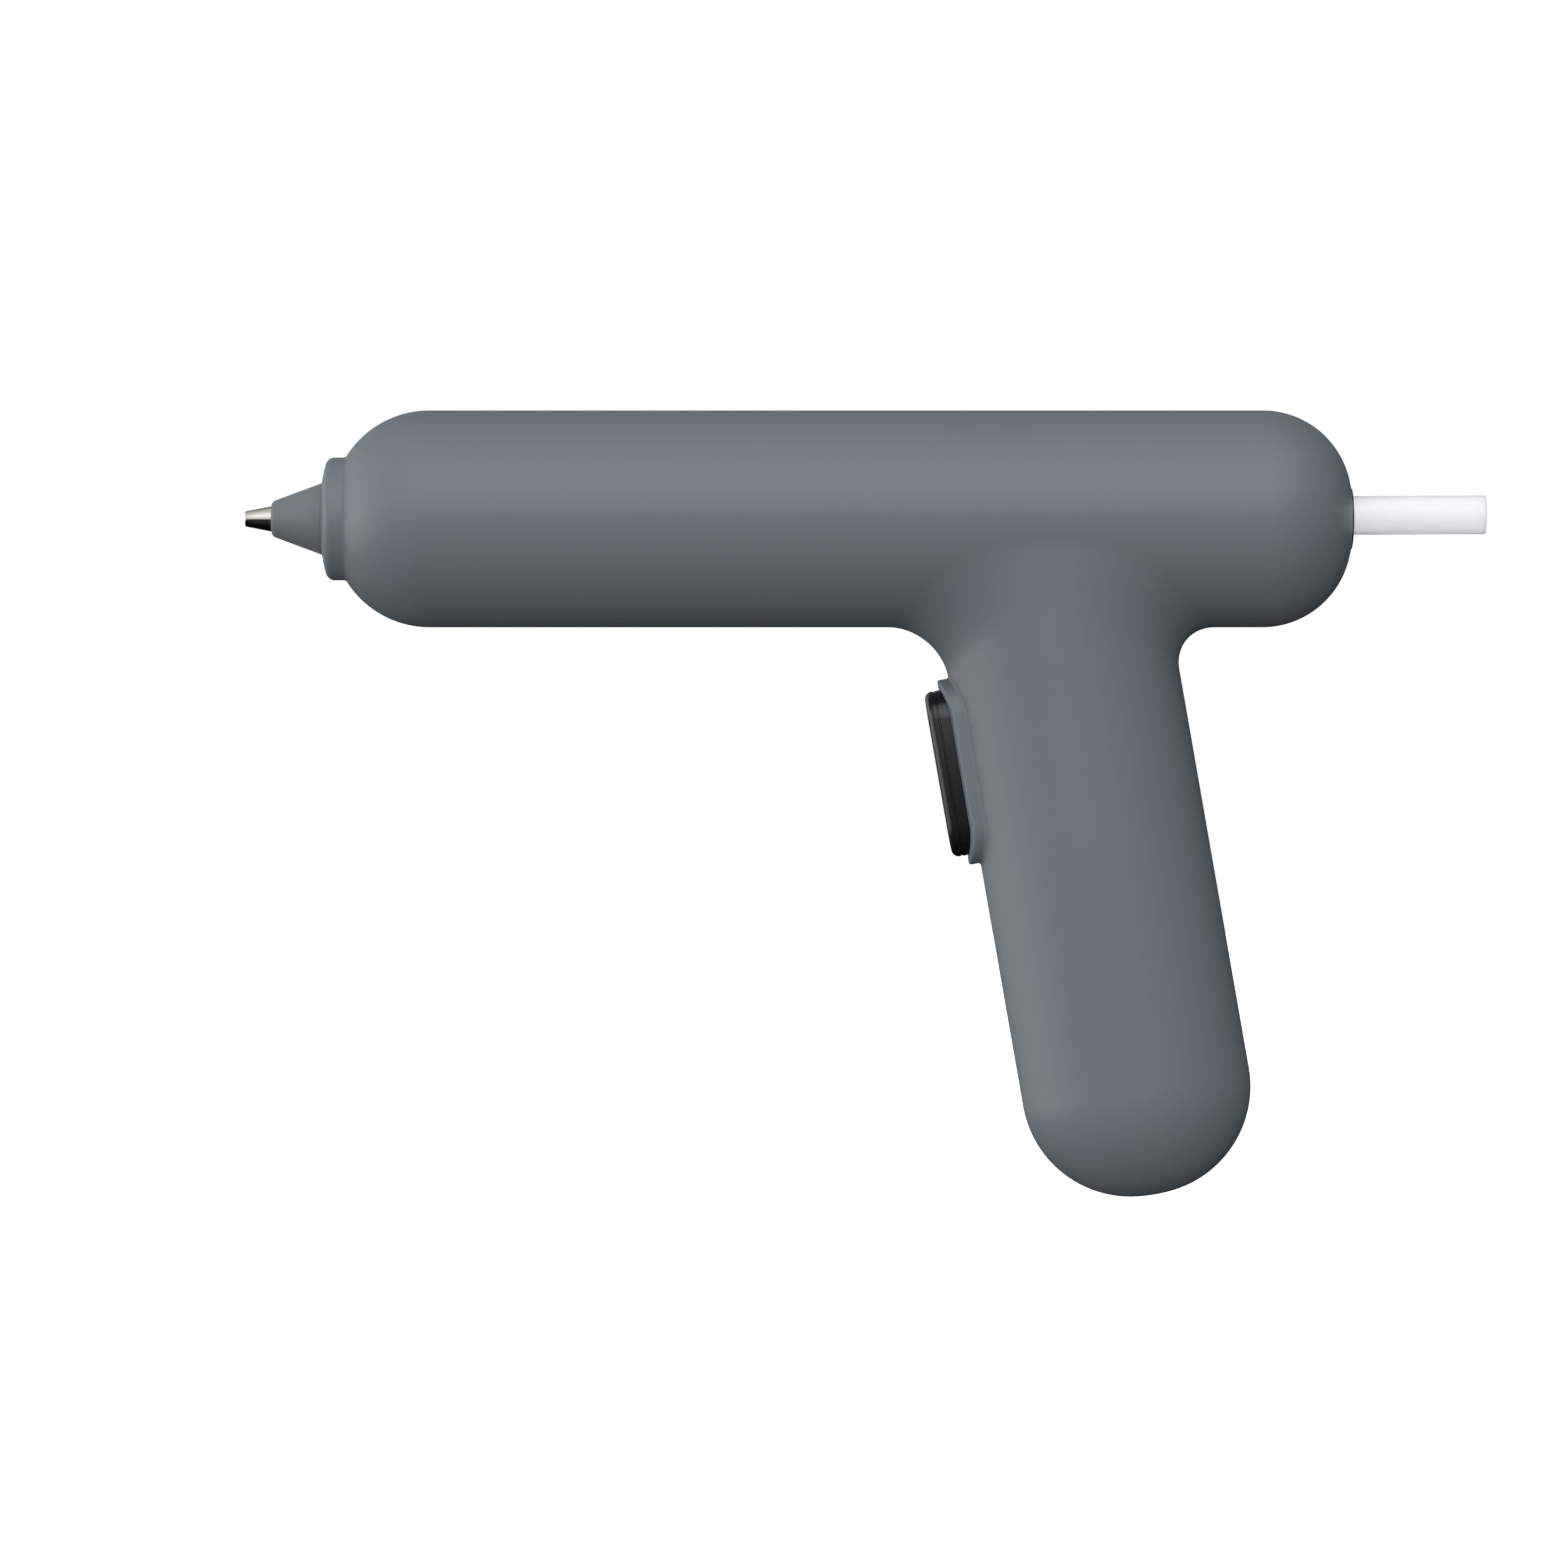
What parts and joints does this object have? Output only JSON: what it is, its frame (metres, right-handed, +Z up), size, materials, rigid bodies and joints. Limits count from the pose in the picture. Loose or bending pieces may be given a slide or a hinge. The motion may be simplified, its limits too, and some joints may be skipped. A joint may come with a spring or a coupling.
{
  "type": "glue gun",
  "caption": "Cordless hot-melt glue gun: T-shaped body with cone nozzle, slim push trigger in a raised frame, sliding feed carriage and a loaded stick at the rear.",
  "frame": {"origin": "where the handle's axis crosses the barrel's axis, on the mid-plane between the two half shells", "axes": "+X along the barrel towards the rear, where the stick goes in, with the nozzle at -X; +Z up; +Y towards the gun's right side"},
  "size_m": [0.2232, 0.039, 0.1414],
  "materials": {
    "shell_plastic": "slate grey moulded ABS, fine satin texture",
    "sleeve_silicone": "slate grey heat-resistant silicone, matte",
    "nozzle_nickel": "turned and nickel-plated brass",
    "chamber_aluminium": "as-cast aluminium",
    "heater_ceramic": "fired ceramic",
    "spring_steel": "spring steel",
    "support_resin": "brown phenolic resin",
    "shield_glass_cloth": "woven glass-fibre sleeve",
    "seal_silicone": "red-brown silicone",
    "glue": "frosted hot-melt adhesive",
    "inner_plastic": "black glass-filled nylon",
    "pin_steel": "ground steel",
    "trigger_gloss": "polished black plastic",
    "circuit_board": "green solder mask",
    "light_diffuser": "milky diffuser plastic",
    "button_plastic": "black satin plastic",
    "cell_wrap": "shrink-wrapped cell",
    "contact_nickel": "nickel strip",
    "port_steel": "drawn stainless steel",
    "screw_steel": "blackened steel",
    "lead_white": "glass-braided heater lead",
    "lead_yellow": "thin insulated lead",
    "lead_red": "insulated lead",
    "lead_black": "insulated lead"
  },
  "bodies": {
    "housing_body": {"housing_left": "shell_plastic", "housing_right": "shell_plastic", "front_collar": "shell_plastic", "nozzle_sleeve": "sleeve_silicone", "nozzle_tip": "nozzle_nickel", "melt_chamber": "chamber_aluminium", "heater_plate": "heater_ceramic", "heater_clip": "spring_steel", "front_support": "support_resin", "rear_support": "support_resin", "heat_shield": "shield_glass_cloth", "thermistor": "heater_ceramic", "inlet_seal": "seal_silicone", "seal_clamp": "spring_steel", "stick_guide": "inner_plastic", "stick_inlet_ring": "inner_plastic", "lever_pivot_pin": "pin_steel", "trigger_spring": "spring_steel", "main_board": "circuit_board", "board_parts": "inner_plastic", "power_switch": "inner_plastic", "status_led": "light_diffuser", "button_ring": "light_diffuser", "battery_cell": "cell_wrap", "battery_cradle": "inner_plastic", "battery_contact_top": "contact_nickel", "battery_contact_bottom": "contact_nickel", "charge_board": "circuit_board", "usb_port_shell": "port_steel", "usb_port_tongue": "inner_plastic", "housing_screws": "screw_steel", "heater_leads": "lead_white", "sensor_leads": "lead_yellow", "battery_lead_positive": "lead_red", "battery_lead_negative": "lead_black"},
    "trigger_body": {"trigger": "trigger_gloss", "trigger_link_pin": "pin_steel"},
    "lever_body": {"feed_lever": "inner_plastic"},
    "carriage_body": {"carriage": "inner_plastic", "carriage_pin": "pin_steel", "pawl_hinge_pin": "pin_steel"},
    "pawl_body": {"grip_pawl": "pin_steel"},
    "stick_body": {"glue_stick": "glue"},
    "button_body": {"power_button": "button_plastic", "switch_plunger": "inner_plastic"}
  },
  "joints": [
    {"name": "trigger_pull", "type": "slide", "parent": "housing_body", "child": "trigger_body", "axis": [0.9851, 0, 0.1719], "range_m": [0, 0.004], "stiffness_N_per_m": 1500, "springref_m": -0.004, "deforming": ["trigger_spring"]},
    {"name": "lever_swing", "type": "hinge", "parent": "housing_body", "child": "lever_body", "pos_m": [-0.002, 0, -0.0275], "axis": [0, 1, 0], "range_deg": [-19.1, 0]},
    {"name": "carriage_feed", "type": "slide", "parent": "housing_body", "child": "carriage_body", "axis": [-1, 0, 0], "range_m": [0, 0.006]},
    {"name": "pawl_tilt", "type": "hinge", "parent": "carriage_body", "child": "pawl_body", "pos_m": [-0.0172, 0, -0.009], "axis": [0, 1, 0], "range_deg": [-5, 0]},
    {"name": "stick_load", "type": "slide", "parent": "carriage_body", "child": "stick_body", "axis": [1, 0, 0.005], "range_m": [0, 0.11]},
    {"name": "button_press", "type": "slide", "parent": "housing_body", "child": "button_body", "axis": [0, -1, 0], "range_m": [0, 0.0006], "stiffness_N_per_m": 2500, "springref_m": -0.0005}
  ],
  "couplings": [
    {"joint": "lever_swing", "follows": "trigger_pull", "rad_per_m": -83.333},
    {"joint": "carriage_feed", "follows": "trigger_pull", "ratio": 1.5},
    {"joint": "pawl_tilt", "follows": "trigger_pull", "rad_per_m": -21.817}
  ]
}
